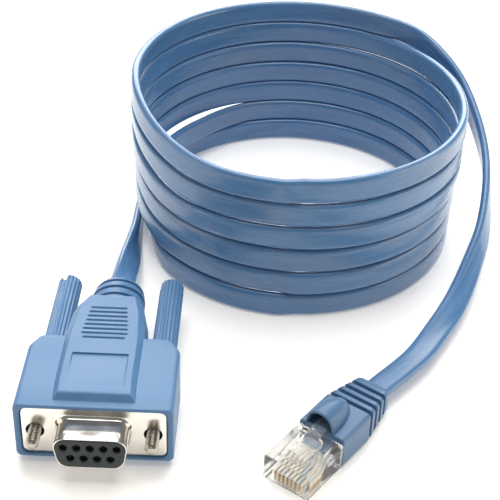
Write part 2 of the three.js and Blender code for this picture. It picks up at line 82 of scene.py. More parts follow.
camera_data = bpy.data.cameras.new("camera")
camera_data.sensor_width = 36
FOCAL_PIXELS, PICTURE_PIXELS = 1235.0, 500
camera_data.lens = FOCAL_PIXELS * camera_data.sensor_width / PICTURE_PIXELS
camera_data.clip_start = 0.01
camera = bpy.data.objects.new("camera", camera_data)
bpy.context.scene.collection.objects.link(camera)
camera.matrix_world = aim((32.33, -191.30 + FRONT_Y, 189.43), -0.0046, 0.6043, 0.0375)
bpy.context.scene.camera = camera
print(f"lens {camera_data.lens:.1f} mm")

# %% [markdown]
# ## Turning arrays into meshes
# Almost every piece here is a skin: a row of closed outlines, one behind the other, joined by faces. If
# each outline has the same number of points, the faces are a plain grid, and numpy can write all of it
# at once. A point in the middle closes each end, or a flat cap with holes does.

# %% Outlines with rounded corners
def rounded(corners, radius, steps=5, between=0):
    """Outlines with round corners, for many rows at once (rows x corners x 2).

    The centre of a corner's arc lies on the corner's bisector, radius / sin(half the corner's angle)
    from it, and the arc turns from one straight edge to the next. between adds points to each edge.
    """
    corners = np.asarray(corners, float)
    if corners.ndim == 2:
        corners = corners[None]
    radius = np.broadcast_to(np.asarray(radius, float), corners.shape[:2])
    before = np.roll(corners, 1, 1) - corners
    after = np.roll(corners, -1, 1) - corners
    before /= np.linalg.norm(before, axis=2, keepdims=True)
    after /= np.linalg.norm(after, axis=2, keepdims=True)
    half = np.arccos(np.clip((before * after).sum(2), -1, 1)) / 2
    middle = before + after
    middle /= np.maximum(np.linalg.norm(middle, axis=2, keepdims=True), 1e-9)
    centre = corners + middle * (radius / np.sin(half))[..., None]
    reach = (radius / np.tan(half))[..., None]
    first, last = corners + before * reach - centre, corners + after * reach - centre
    sweep = np.arctan2(first[..., 0] * last[..., 1] - first[..., 1] * last[..., 0], (first * last).sum(2))
    angle = sweep[..., None] * np.linspace(0, 1, steps + 1)
    cosine, sine = np.cos(angle), np.sin(angle)
    arcs = centre[:, :, None] + np.stack([first[..., :1] * cosine - first[..., 1:] * sine,
                                          first[..., :1] * sine + first[..., 1:] * cosine], -1)
    counts = np.broadcast_to(between, corners.shape[1])
    pieces = []
    for n, count in enumerate(counts):
        pieces.append(arcs[:, n])
        if count:
            share = (np.arange(1, count + 1) / (count + 1))[None, :, None]
            start, end = arcs[:, n, -1:], arcs[:, (n + 1) % len(counts), :1]
            pieces.append(start * (1 - share) + end * share)
    return np.concatenate(pieces, 1)


def rectangle(half_x, half_z, z=AXIS_Z):
    """Corner points of a rectangle, or of one for each row if the halves are arrays."""
    half_x, half_z = np.broadcast_arrays(np.atleast_1d(half_x), np.atleast_1d(half_z))
    signs = np.array([[-1, -1], [1, -1], [1, 1], [-1, 1]])
    return np.stack([signs[:, 0] * half_x[:, None], signs[:, 1] * half_z[:, None] + z], -1)


def d_shape(width, height, corner, z=AXIS_Z):
    """The connector's D: the long side on top and the two ends leaning in by 10 degrees."""
    lean = height * math.tan(math.radians(10))
    top, low = width / 2, width / 2 - lean
    corners = [[-low, z - height / 2], [low, z - height / 2], [top, z + height / 2], [-top, z + height / 2]]
    return rounded(corners, corner, steps=7, between=6)[0]


def circle(radius, x=0.0, z=AXIS_Z, count=28):
    """Points of a circle: cosine and sine of equal steps of the angle."""
    angle = np.arange(count) / count * 2 * math.pi
    return np.stack([x + radius * np.cos(angle), z + radius * np.sin(angle)], -1)


# %% [markdown]
# ## Skins, caps and turned shapes
# A skin could be drawn by hand as a lofted surface. Written as arrays, the same few lines make a tube, a
# box with soft edges and a turned pin. A face with holes can't be a plain grid, so a Delaunay
# triangulation fills it, and the triangles inside a hole are left out.

# %% Skins, tubes and flat caps
def rows_at(outlines, ys):
    """Puts XZ outlines at their Y places: a rows x points x 3 array."""
    outlines = np.asarray(outlines, float)
    ys = np.broadcast_to(np.asarray(ys, float)[:, None], outlines.shape[:2])
    return np.stack([outlines[..., 0], ys, outlines[..., 1]], -1)


def tube(sections, ends=(False, False)):
    """Points and faces over sections: quads from each row to the next, and a fan at each end asked for."""
    rows, count, _ = sections.shape
    points = [sections.reshape(-1, 3)]
    i, j = np.meshgrid(np.arange(rows - 1) * count, np.arange(count), indexing="ij")
    k, i2 = (j + 1) % count, i + count
    faces = np.stack([i + j, i + k, i2 + k, i2 + j], -1).reshape(-1, 4).tolist()
    edge = np.arange(count)
    after = (edge + 1) % count
    extra = rows * count
    for which, closed in zip((0, -1), ends):
        if closed:
            points.append(sections[which].mean(0, keepdims=True))
            base = 0 if which == 0 else (rows - 1) * count
            pair = (after, edge) if which == 0 else (edge, after)
            faces += np.stack([pair[0] + base, pair[1] + base, np.full(count, extra)], -1).tolist()
            extra += 1
    return np.concatenate(points), faces


def cap(outline, holes, y):
    """A flat face at Y inside an outline (XZ points), left open where the holes are."""
    loops = [np.asarray(outline)] + [np.asarray(hole) for hole in holes]
    flat = np.concatenate(loops)
    starts = np.cumsum([0] + [len(loop) for loop in loops])
    edges = [(int(s + n), int(s + (n + 1) % len(loop))) for s, loop in zip(starts[1:], loops[1:])
             for n in range(len(loop))]
    found = delaunay_2d_cdt([Vector(p) for p in flat.tolist()], edges, [list(range(len(loops[0])))], 1, 1e-7)
    places = np.array([tuple(v) for v in found[0]])
    faces = np.array([face for face in found[2] if len(face) == 3])
    middle = places[faces].mean(1)
    keep = np.ones(len(faces), bool)
    for hole in loops[1:]:
        following = np.roll(hole, -1, 0)
        above = (hole[:, 1] > middle[:, 1:]) != (following[:, 1] > middle[:, 1:])
        with np.errstate(divide="ignore", invalid="ignore"):
            cross = hole[:, 0] + (following[:, 0] - hole[:, 0]) * (middle[:, 1:] - hole[:, 1]) / (
                following[:, 1] - hole[:, 1])
        keep &= (above & (middle[:, :1] < cross)).sum(1) % 2 == 0
    return np.column_stack([places[:, 0], np.full(len(places), y), places[:, 1]]), faces[keep].tolist()


def lathe(profile, x=0.0, z=AXIS_Z, count=32, squash=1.0):
    """Turns (radius, y) pairs about an axis along Y, optionally pressed to an oval, and closes both ends."""
    profile = np.asarray(profile, float)
    ring = circle(1.0, 0, 0, count) * (1, squash)
    outlines = profile[:, 0, None, None] * ring + (x, z)
    return tube(rows_at(outlines, profile[:, 1]), (True, True))


# %% [markdown]
# ## One closed object from its parts
# A piece may be put together from several skins. Their shared edges are welded, so that the surface is
# closed, and the normals are turned outwards. Edges sharper than an angle stay crisp, and the rest is
# shaded smooth. Each piece is hung under an empty for the body it rides on, and the imported solids it
# stands for are hidden.

# %% From parts to one closed object
def make_piece(name, parts, body=BODY, sharp=38, place=None, replaces=(), material=None):
    """Joins parts into one object, welds what touches, and turns the normals outwards."""
    points, faces, start = [], [], 0
    for part_points, part_faces in parts:
        points.append(np.asarray(part_points, float))
        faces += [[start + n for n in face] for face in part_faces]
        start += len(part_points)
    points = np.concatenate(points)
    if place is not None:
        points = place(points)
    mesh = bpy.data.meshes.new(name)
    mesh.from_pydata(((points + (0, FRONT_Y, 0)) * MM).tolist(), [], faces)
    work = bmesh.new()
    work.from_mesh(mesh)
    bmesh.ops.remove_doubles(work, verts=work.verts, dist=2e-6)
    bmesh.ops.dissolve_degenerate(work, edges=work.edges, dist=1e-6)
    bmesh.ops.recalc_face_normals(work, faces=work.faces)
    open_edges = sum(1 for edge in work.edges if not edge.is_manifold)
    work.to_mesh(mesh)
    work.free()
    mesh.polygons.foreach_set("use_smooth", np.ones(len(mesh.polygons), bool))
    mesh.set_sharp_from_angle(angle=math.radians(sharp))
    piece = bpy.data.objects.new(name, mesh)
    bpy.context.scene.collection.objects.link(piece)
    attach(piece, body)
    if replaces:
        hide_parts(*replaces)
    if material:
        mesh.materials.append(material)
    print(f"{name}: {len(mesh.polygons)} faces, {open_edges} open edges")
    return piece


def soften(outline, inset):
    """Draws an outline in towards its middle by a length, the same share on each axis."""
    middle = outline.mean(0)
    reach = np.abs(outline - middle).max(0)
    return middle + (outline - middle) * (1 - inset / reach)


def edge_rows(outline, y, radius, outward, steps=4):
    """Rows that round an edge of that radius where a side wall turns into an end face at y.

    A quarter circle: at angle a the row stands radius * (1 - sin a) inside the face's plane and is
    drawn in by radius * (1 - cos a). outward is -1 for an end that faces the front, 1 for the back.
    """
    angle = np.linspace(0, math.pi / 2, steps + 1)
    outlines = [soften(outline, radius * (1 - math.cos(a))) for a in angle]
    return outlines, [y - outward * radius * (1 - math.sin(a)) for a in angle]


# %% [markdown]
# ## Finishes
# Five plastics and four metals. The hood, the boot and the grips are moulded from soft matt PVC with a
# fine spark-eroded grain. The cable's jacket is pushed through a die, so it is smoother and shows long
# soft ripples along its length. The shell is drawn steel with bright nickel on it.

# %% Material helpers
def material(name, colour, roughness, metallic=0.0, **sockets):
    """A named material whose shader has these plain values."""
    made = bpy.data.materials.new(name)
    made.use_nodes = True
    shader = made.node_tree.nodes["Principled BSDF"]
    shader.inputs["Base Color"].default_value = (*colour, 1)
    shader.inputs["Roughness"].default_value = roughness
    shader.inputs["Metallic"].default_value = metallic
    for socket, value in sockets.items():
        shader.inputs[socket.replace("_", " ")].default_value = value
    return made, made.node_tree, shader


def node(tree, kind, **values):
    """Adds a node; names with a number in them are its inputs, the others its settings."""
    made = tree.nodes.new(kind)
    for key, value in values.items():
        if key.startswith("in_"):
            made.inputs[int(key[3:])].default_value = value
        else:
            setattr(made, key, value)
    return made


def grain_group():
    """Moulded grain: two sizes of noise on the object's own coordinates.

    It gives a height for a bump and one factor, which drives both small shifts of colour and roughness.
    """
    group = bpy.data.node_groups.new("moulded_grain", "ShaderNodeTree")
    for name in ("Fine Size", "Wide Size"):
        group.interface.new_socket(name, in_out="INPUT", socket_type="NodeSocketFloat")
    for name in ("Height", "Patch"):
        group.interface.new_socket(name, in_out="OUTPUT", socket_type="NodeSocketFloat")
    ins, outs = node(group, "NodeGroupInput"), node(group, "NodeGroupOutput")
    place = node(group, "ShaderNodeTexCoord")
    fine = node(group, "ShaderNodeTexNoise", in_3=3.0, in_4=0.6)
    wide = node(group, "ShaderNodeTexNoise", in_3=3.0, in_4=0.55)
    group.links.new(place.outputs["Object"], fine.inputs["Vector"])
    group.links.new(place.outputs["Object"], wide.inputs["Vector"])
    group.links.new(ins.outputs["Fine Size"], fine.inputs["Scale"])
    group.links.new(ins.outputs["Wide Size"], wide.inputs["Scale"])
    group.links.new(fine.outputs["Fac"], outs.inputs["Height"])
    group.links.new(wide.outputs["Fac"], outs.inputs["Patch"])
    return group


grain = grain_group()


def add_grain(tree, shader, colour, shift, fine, wide, bump, rough=None):
    """Wires the grain into a material: colour patches, roughness patches and a bump."""
    group = node(tree, "ShaderNodeGroup", node_tree=grain, in_0=fine, in_1=wide)
    ramp = node(tree, "ShaderNodeValToRGB")
    dark, light = ramp.color_ramp.elements
    dark.position, light.position = 0.3, 0.7
    dark.color = (*[c * (1 - shift) for c in colour], 1)
    light.color = (*[min(1, c * (1 + shift)) for c in colour], 1)
    tree.links.new(group.outputs["Patch"], ramp.inputs["Fac"])
    tree.links.new(ramp.outputs["Color"], shader.inputs["Base Color"])
    height = node(tree, "ShaderNodeBump", in_0=bump, in_1=0.0001)
    tree.links.new(group.outputs["Height"], height.inputs["Height"])
    tree.links.new(height.outputs["Normal"], shader.inputs["Normal"])
    if rough:
        spread = node(tree, "ShaderNodeMapRange", in_1=0.3, in_2=0.7, in_3=rough[0], in_4=rough[1])
        tree.links.new(group.outputs["Patch"], spread.inputs["Value"])
        tree.links.new(spread.outputs["Result"], shader.inputs["Roughness"])


def finish(name, colour, base_rough, metallic, shift, fine, wide, bump, rough=None, **sockets):
    """A material with the grain in it: its colour, its roughness, and the grain's sizes and strengths."""
    made, tree, shader = material(name, colour, base_rough, metallic, **sockets)
    add_grain(tree, shader, colour, shift, fine, wide, bump, rough)
    return made


# %% The finishes
moulded_blue = finish("moulded_blue_pvc", (0.086, 0.200, 0.378), 0.42, 0, 0.035, 5200, 160, 0.12, (0.38, 0.50),
                      Specular_IOR_Level=0.5)
boot_blue = finish("boot_blue_pvc", (0.074, 0.162, 0.300), 0.36, 0, 0.04, 4200, 190, 0.10, (0.32, 0.44))
nickel = finish("drawn_nickel", (0.80, 0.77, 0.71), 0.22, 1, 0.05, 2600, 240, 0.05, (0.14, 0.26))
steel = finish("screw_steel", (0.45, 0.42, 0.37), 0.28, 1, 0.12, 3000, 500, 0.08, (0.18, 0.34))
gold = finish("gold_plate", (0.86, 0.60, 0.22), 0.22, 1, 0.06, 3000, 600, 0.04, (0.16, 0.3))
# The socket sleeves' gold is darkened to a bronze tone as painted shade deep in the holes.
shaded_socket_gold = finish("socket_gold_painted_shade", (0.30, 0.22, 0.12), 0.3, 1, 0.1, 3000, 600, 0.04, (0.25, 0.4))
insulator_grey = finish("glass_filled_nylon", (0.030, 0.042, 0.042), 0.5, 0, 0.12, 4800, 420, 0.12, (0.42, 0.58),
                        Specular_IOR_Level=0.35)
clear = finish("clear_polycarbonate", (1.0, 0.99, 0.97), 0.05, 0, 0.01, 900, 120, 0.02, IOR=1.23,
               Transmission_Weight=0.94)
print(len(bpy.data.materials), "materials with grain")

# %% [markdown]
# ## The jacket's finish
# Extruded plastic shows long ripples along the cable. The lighter streaks in its colour are painted sheen,
# and the greyer patches are painted reflection. An object's own coordinates would cut across the turns, so
# the pattern reads the cord's UV map, whose first number runs along the cable and whose second runs round
# it. Two noises are stretched by different shares: a narrow one for the ripples' bump and roughness and
# the painted sheen streaks, and a wide one that mixes in grey as painted reflection.

# %% Ripples, painted sheen streaks and painted reflection patches along the cable
CABLE_BLUE = (0.066, 0.192, 0.402)
cable_blue, tree, shader = material("extruded_blue_pvc", CABLE_BLUE, 0.26, Specular_IOR_Level=0.5, Coat_Weight=0.35,
                                   Coat_Roughness=0.16)
along = node(tree, "ShaderNodeUVMap", uv_map="run")
stretch = node(tree, "ShaderNodeMapping")
stretch.inputs["Scale"].default_value = (38.0, 420.0, 1.0)
tree.links.new(along.outputs["UV"], stretch.inputs["Vector"])
ripple = node(tree, "ShaderNodeTexNoise", in_2=1.0, in_3=3.0, in_4=0.55)
tree.links.new(stretch.outputs["Vector"], ripple.inputs["Vector"])
# The lighter end of this ramp is painted sheen along the streaks; the ripple's bump and roughness are real.
sheen_streak_tint = node(tree, "ShaderNodeValToRGB")
dark, light = sheen_streak_tint.color_ramp.elements
dark.position, light.position = 0.28, 0.74
dark.color = (*[c * 0.86 for c in CABLE_BLUE], 1)
light.color = (CABLE_BLUE[0] * 1.55, CABLE_BLUE[1] * 1.16, CABLE_BLUE[2] * 1.04, 1)
tree.links.new(ripple.outputs["Fac"], sheen_streak_tint.inputs["Fac"])
patches = node(tree, "ShaderNodeMapping")
patches.inputs["Scale"].default_value = (22.0, 60.0, 1.0)
tree.links.new(along.outputs["UV"], patches.inputs["Vector"])
reflection_patch_noise = node(tree, "ShaderNodeTexNoise", in_2=1.0, in_3=4.0, in_4=0.6)
tree.links.new(patches.outputs["Vector"], reflection_patch_noise.inputs["Vector"])
share = node(tree, "ShaderNodeMapRange", in_1=0.50, in_2=0.78, in_3=0.0, in_4=0.38)
tree.links.new(reflection_patch_noise.outputs["Fac"], share.inputs["Value"])
# Grey mixed into the colour in wide patches is painted reflection.
grey = node(tree, "ShaderNodeMix", data_type="RGBA")
grey.inputs[7].default_value = (0.20, 0.205, 0.245, 1)
tree.links.new(share.outputs["Result"], grey.inputs[0])
tree.links.new(sheen_streak_tint.outputs["Color"], grey.inputs[6])
tree.links.new(grey.outputs[2], shader.inputs["Base Color"])
spread = node(tree, "ShaderNodeMapRange", in_1=0.3, in_2=0.7, in_3=0.20, in_4=0.34)
tree.links.new(ripple.outputs["Fac"], spread.inputs["Value"])
tree.links.new(spread.outputs["Result"], shader.inputs["Roughness"])
height = node(tree, "ShaderNodeBump", in_0=0.35, in_1=0.0004)
tree.links.new(ripple.outputs["Fac"], height.inputs["Height"])
tree.links.new(height.outputs["Normal"], shader.inputs["Normal"])
print(len(bpy.data.materials), "materials")

# %% [markdown]
# ## The moulded hood
# On the real connector one soft blue moulding is shot over the shell and the cable at once. Its front is
# a shallow box with a rim round the metal flange. A raised pad runs over the middle of the box and goes on
# behind it as the body, with sloping sides. Two wings carry the thumbscrews. The rows of the skin go from
# the pocket behind the flange, over the rim and along the outside to a flat back. A bevelled cube would do
# for the box, but rows give each edge its own radius, and the cut corners come from one formula.

# %% Front box of the hood
HOOD_HALF, SHOULDER_HALF_Z, BOX_BACK = 16.85, 7.25, 24.0
SCREW_X = 12.495


def wing_half(y):
    """Half width of the box: straight, then cut off at the back corners, with a soft knee between."""
    knee, slant, softness = 20.2, 2.1 / 3.8, 0.22
    return HOOD_HALF - slant * softness * np.logaddexp(0, (np.asarray(y, float) - knee) / softness)


pocket = rounded(rectangle(15.55, 6.42), 1.75, between=6)[0]
rim = rounded(rectangle(HOOD_HALF, SHOULDER_HALF_Z), 1.25, between=6)[0]
lip_rows, lip_y = edge_rows(rim, 0, 0.45, -1)
inner_lip = [pocket, pocket, soften(pocket, -0.08), soften(pocket, -0.22)]
side_y = np.array([6.0, 12.0, 18.0, 19.4, 19.8, 20.1, 20.3, 20.6, 21.0, 22.4, 23.2])
side_rows = rounded(rectangle(wing_half(side_y), SHOULDER_HALF_Z), 1.25, between=6)
back_outline = rounded(rectangle(wing_half(BOX_BACK), SHOULDER_HALF_Z), 1.25, between=6)[0]
back_rows, back_y = edge_rows(back_outline, BOX_BACK, 0.7, 1)
outlines = [pocket, *inner_lip, *lip_rows[::-1], *side_rows, *back_rows]
ys = [3.2, 1.6, 0.25, 0.07, 0.0, *lip_y[::-1], *side_y, *back_y]
box_skin = tube(rows_at(outlines, ys), ends=(True, True))
make_piece("hood_box", [box_skin], material=moulded_blue, replaces=["connector_hood"])

# %% [markdown]
# ## The hood's body
# The body tapers to the cable with a flat top, a slope on each side and a seam half way up. Eight finger
# grooves and a shallow recess for a label are sunk in its top. They could be cut with boolean solids, but
# that leaves ragged edges on a tapered shape. Here the top has many points, and a formula lowers them.

# %% Grooves and recess as a depth over the top
GROOVES = 21.7 + 1.54 * np.arange(8)
GROOVE_HALF = np.array([4.75, 5.2, 5.1, 4.92, 4.74, 4.56, 4.38, 4.2])


def smooth_step(x, low, high):
    """0 below low, 1 above high, and 3 s^2 - 2 s^3 of the share s between them."""
    share = np.clip((x - low) / (high - low), 0, 1)
    return share * share * (3 - 2 * share)


def hollow(x, y):
    """Depth cut into the top: eight cross grooves with soft walls, and the recess, deeper at its back."""
    across = [smooth_step(half - np.abs(x), 0, 0.3) * (1 - smooth_step(np.abs(y - at), 0.14, 0.40))
              for at, half in zip(GROOVES, GROOVE_HALF)]
    grooves = 0.42 * np.max(across, 0)
    side = smooth_step(6.05 - np.abs(x), -0.07, 0.07)
    recess = (0.12 + 0.26 * smooth_step(y, 6.5, 16.0)) * side * smooth_step(y, 5.35, 5.5) * (
        1 - smooth_step(y, 16.2, 16.32))
    return grooves + recess


# %% The body's sections from front to back
body_y = np.unique(np.round(np.concatenate([
    np.linspace(1.7, 3.3, 10), np.linspace(3.3, 37.0, 60),
    [5.3, 5.37, 5.44, 5.52, 16.1, 16.2, 16.26, 16.33, 16.4],
    (GROOVES[:, None] + [-0.45, -0.36, -0.28, -0.2, -0.12, 0, 0.12, 0.2, 0.28, 0.36, 0.45]).ravel(),
    37.0 + 0.8 * np.sin(np.linspace(0, math.pi / 2, 7)),
]), 3))
rise = smooth_step(body_y, 2.0, 3.3) * 0.35 + np.clip((body_y - 2.0) / 1.3, -0.3, 1) * 0.65
drop = 1 - np.sqrt(np.clip(1 - (np.clip(body_y - 36.9, 0, 0.9) / 0.9) ** 2, 0, 1))
flat_z = SHOULDER_HALF_Z + 1.4 * rise - 0.9 * drop
flat_x = np.interp(body_y, [3.3, 21, 31.5, 36.6, 37.8], [7.6, 7.5, 6.75, 5.4, 4.9])
flat_x += 1.05 * (1 - rise) - 0.6 * drop
slope_x = np.interp(body_y, [2, 24, 31.5, 35.0, 37.8], [8.85, 8.85, 8.3, 7.5, 6.0]) - 0.6 * drop
wall_x = np.interp(body_y, [2, 30, 35.0, 37.8], [9.1, 9.1, 8.45, 7.0]) - 0.6 * drop
low_z = np.minimum(SHOULDER_HALF_Z - 0.12, flat_z - 0.3)
seam = np.full_like(body_y, 0.22)
signs = [(-1, -1, flat_x, flat_z), (1, -1, flat_x, flat_z), (1, -1, slope_x, low_z), (1, -1, wall_x, seam),
         (1, 1, wall_x, seam), (1, 1, slope_x, low_z), (1, 1, flat_x, flat_z), (-1, 1, flat_x, flat_z),
         (-1, 1, slope_x, low_z), (-1, 1, wall_x, seam), (-1, -1, wall_x, seam), (-1, -1, slope_x, low_z)]
corners = np.stack([np.stack([sx * x, AXIS_Z + sz * z], -1) for sx, sz, x, z in signs], 1)
radii = np.array([0.30, 0.30, 0.45, 0.1, 0.1, 0.45, 0.30, 0.30, 0.45, 0.1, 0.1, 0.45])
body_rows = rounded(corners, radii, steps=3, between=[62, 0, 3, 0, 3, 0, 62, 0, 3, 0, 3, 0])
body_sections = rows_at(body_rows, body_y)
x, y, z = body_sections[..., 0], body_sections[..., 1], body_sections[..., 2]
flatness = smooth_step(np.abs(z - AXIS_Z), SHOULDER_HALF_Z + 0.9, SHOULDER_HALF_Z + 1.3)
body_sections[..., 2] -= np.sign(z - AXIS_Z) * hollow(x, y) * flatness
body_sections[..., 0] -= 0.3 * smooth_step(y, 1.0, 9.0) * (1 - smooth_step(y, 33.0, 38.0))
make_piece("hood_body", [tube(body_sections, ends=(True, True))], material=moulded_blue, sharp=50,
           replaces=["connector_hood"])

# %% [markdown]
# ## The strain relief
# Where the cable leaves, the moulding has rings with grooves between them, so that it bends softly. It is
# a turned shape, pressed to a slight oval. The radius is a taper less the grooves, worked out in fine
# steps along the axis, which is simpler than modelling each ring.

# %% Ribbed strain relief behind the body
relief_y = np.arange(36.2, 50.99, 0.09)
ribs = np.min([np.ones_like(relief_y)] + [smooth_step(np.abs(relief_y - at), 0.25, 0.52)
              for at in 39.15 + 2.9 * np.arange(4)], 0)
taper = np.interp(relief_y, [36, 45.6, 48.6, 51.0], [6.75, 6.5, 6.0, 5.1])
shoulder = np.sqrt(np.clip(1 - (np.clip(relief_y - 49.4, 0, 1.6) / 1.65) ** 2, 0.02, 1))
relief_r = (taper - 1.15 * (1 - ribs)) * (0.55 + 0.45 * shoulder)
relief_part = lathe(np.column_stack([relief_r, relief_y]), squash=0.885, count=56)
make_piece("strain_relief", [relief_part], material=moulded_blue, replaces=["connector_hood"])

# %% [markdown]
# ## Thumbscrews
# Each thumbscrew is a steel 4-40 screw with a long blue grip moulded on its tail. The grip has 18 flutes so
# that fingers hold it, and a slot across its end for a driver. The outline could be an array of small
# cylinders. One outline whose radius dips 18 times gives the same look with a clean, closed skin.

# %% Fluted grips with a driver slot
def flute_outline(count=18, points=8, radius=2.9, depth=0.24):
    """A circle whose radius dips at each flute: a raised cosine, flattened at the top of the rib."""
    angle = np.arange(count * points) / (count * points) * 2 * math.pi
    wave = 0.5 - 0.5 * np.cos(angle * count)
    reach = radius - depth * wave ** 1.6
    return np.stack([reach * np.cos(angle), reach * np.sin(angle)], -1)


flutes = flute_outline()
SLOT_DEPTH, GRIP_FRONT, GRIP_BACK = 1.8, 20.0, 52.8
SLOT_HALF = 0.72
halves = []
for side in (1, -1):
    half = flutes[flutes[:, 1] * side >= SLOT_HALF]
    halves.append(half[np.argsort(np.arctan2(half[:, 1] * side, half[:, 0]))])
print(len(flutes), "outline points,", [len(h) for h in halves], "in the halves")


def grip_parts():
    """The fluted rod up to the slot's floor, and the two jaws that stand beside the slot."""
    grow = np.linspace(0, math.pi / 2, 5)
    front = [flutes * (1 - 0.12 * (1 - math.sin(a))) for a in grow]
    front_y = [GRIP_FRONT + 0.35 * (1 - math.cos(a)) for a in grow]
    floor = GRIP_BACK - SLOT_DEPTH
    rod_y = [*front_y, 30, 40, floor - 0.02, floor]
    rod_rows = [*front, flutes, flutes, flutes, flutes * 0.992]
    parts = [tube(rows_at(rod_rows, rod_y), (True, True))]
    for half in halves:
        rows, ys = edge_rows(half, GRIP_BACK, 0.55, 1, 5)
        rows = [half, half * 0.999] + rows
        ys = [floor - 0.25, floor + 0.4] + ys
        parts.append(tube(rows_at(rows, ys), (True, True)))
    return parts


for side, x, angle in (("left", -SCREW_X, 62), ("right", SCREW_X, 8)):
    def set_grip(points, x=x, spin=math.radians(angle)):
        """Turns a grip about its own axis and puts it on its screw."""
        px, py, pz = points.T
        return np.column_stack([x + px * math.cos(spin) + pz * math.sin(spin), py,
                                AXIS_Z - px * math.sin(spin) + pz * math.cos(spin)])

    make_piece(f"grip_{side}", grip_parts(), body=f"{side}_thumbscrew", place=set_grip, material=moulded_blue,
               replaces=[f"thumbscrew_grip_{side}"], sharp=45)

# %% [markdown]
# ## The screws' thread
# The thread could be a small profile swept along a helix, but it then crosses itself at the ends. A skin
# round the axis avoids that: its radius rises and falls with the distance along the axis less the share of
# a turn, which is what a helix is. The tip is drawn in to a blunt point.

# %% Screws with a real thread
def thread(radius=1.42, core=1.0, pitch=0.635, front=-4.5, end=8.0, around=40):
    """Rows along the axis; radius = core + (crest - core) x a rounded triangle of (y / pitch - turn)."""
    ys = np.arange(front, end, 0.07)
    angle = np.arange(around) / around * 2 * math.pi
    phase = (ys[:, None] / pitch - angle[None] / (2 * math.pi)) % 1
    ridge = np.clip(1.25 * (1 - np.abs(2 * phase - 1)) - 0.05, 0, 1)
    reach = core + (radius - core) * ridge
    point = np.clip((ys - front) / 0.55, 0, 1)[:, None]
    reach = np.minimum(reach, 0.85 + (radius - 0.85) * point)
    return np.stack([reach * np.cos(angle), np.broadcast_to(ys[:, None], reach.shape), reach * np.sin(angle)], -1)


for side, x in (("left", -SCREW_X), ("right", SCREW_X)):
    def set_screw(points, x=x):
        """Moves a screw from the origin's axis to its own."""
        return points + (x, 0, AXIS_Z)

    shank = lathe([[1.1, 7.9], [1.1, 8.1], [1.1, 39.8]], 0, 0, 24)
    make_piece(f"screw_{side}", [tube(thread(), (True, True)), shank], body=f"{side}_thumbscrew",
               place=set_screw, material=steel, replaces=[f"jackscrew_{side}"], sharp=60)

# %% [markdown]
# ## The metal front
# The shell is one drawn sheet: a flat flange with a D-shaped skirt pulled out of it. Drawing leaves a
# round fillet where the skirt rises from the flange, and that fillet catches the light as a bright line.
# The skirt's D has its long side on top, so that the plug goes on only one way round.

# %% Shell with its skirt
FLANGE_FRONT, FLANGE_BACK = 0.5, 1.3
flange = rounded(rectangle(15.405, 6.275), 1.6, between=6)[0]
skirt = d_shape(16.33, 7.9, 2.6)
inner = d_shape(15.83, 7.4, 2.38)
root_angle = np.linspace(0, math.pi / 2, 7)
root_rows = [soften(skirt, -0.95 * (1 - math.sin(a))) for a in root_angle]
root_y = [FLANGE_FRONT - 0.95 * (1 - math.cos(a)) for a in root_angle]
lip = np.linspace(0, math.pi, 7)
lip_rows = [soften(skirt, 0.125 - 0.125 * math.cos(a)) for a in lip[:-1]]
lip_y = [-5.95 - 0.125 * math.sin(a) for a in lip[:-1]]
skirt_rows = root_rows + [skirt] + lip_rows + [inner, inner]
skirt_y = root_y + [-3.0] + lip_y + [-5.95, FLANGE_BACK]
screw_holes = [circle(2.0, side * SCREW_X, count=32) for side in (-1, 1)]
flange_front, front_y = edge_rows(flange, FLANGE_FRONT, 0.18, -1, 3)
shell_parts = [
    tube(rows_at(skirt_rows, skirt_y)),
    tube(rows_at([*flange_front[::-1], flange], [*front_y[::-1], FLANGE_BACK])),
    cap(flange_front[-1], [root_rows[0], *screw_holes], FLANGE_FRONT),
    cap(flange, [inner, *screw_holes], FLANGE_BACK),
    *[tube(rows_at([hole, hole], [FLANGE_FRONT, FLANGE_BACK])) for hole in screw_holes],
]
make_piece("front_shell", shell_parts, material=nickel, replaces=["connector_front_shell"])

# %% [markdown]
# ## The insulator
# A dark D-shaped block fills the skirt. It has nine holes, five above four, each with a small chamfer at
# its mouth and a gold sleeve deep inside, whose colour is darkened to a bronze tone as painted shade. The
# front face with its holes is one flat cap, and each hole is a short tube that starts on the cap's edge,
# so no boolean is needed.

# %% Insulator and its nine contacts
PITCH, ROW_PITCH = 2.77, 2.84
contact_places = [((i - (count - 1) / 2) * PITCH, AXIS_Z + row * ROW_PITCH)
                  for count, row in ((5, 0.5), (4, -0.5)) for i in range(count)]
block = d_shape(15.7, 7.26, 2.32)
face_rows, face_y = edge_rows(block, SKIRT_FRONT, 0.25, -1, 3)
mouths = [circle(1.02, x, z, 24) for x, z in contact_places]
bores = [circle(0.84, x, z, 24) for x, z in contact_places]
insulator_parts = [
    cap(face_rows[-1], mouths, SKIRT_FRONT),
    tube(rows_at([*face_rows[::-1], block], [*face_y[::-1], 4.3]), (False, True)),
    *[tube(rows_at([mouth, bore, bore], [SKIRT_FRONT, -5.9, -0.35]), (False, True))
      for mouth, bore in zip(mouths, bores)],
]
make_piece("insulator_block", insulator_parts, material=insulator_grey, replaces=["connector_insulator"])
sleeve = [[0.68, -0.5], [0.68, -5.02], [0.60, -5.1], [0.55, -5.1], [0.5, -5.04], [0.5, -1.5]]
for n, (x, z) in enumerate(contact_places, 1):
    make_piece(f"contact_sleeve_{n}", [lathe(sleeve, x, z, 20)], material=shaded_socket_gold,
               replaces=[f"socket_contact_{n}"])

# %% [markdown]
# ## The modular plug
# The plug is one clear moulding with its latch on top. Eight gold blades stand in slots under the nose.
# Inside, the jacket of the cable ends about nine millimetres behind the nose, and the eight thin wires run
# on to the blades. The plug lies turned by 35.5 degrees, so its pieces are drawn along Y and then turned.

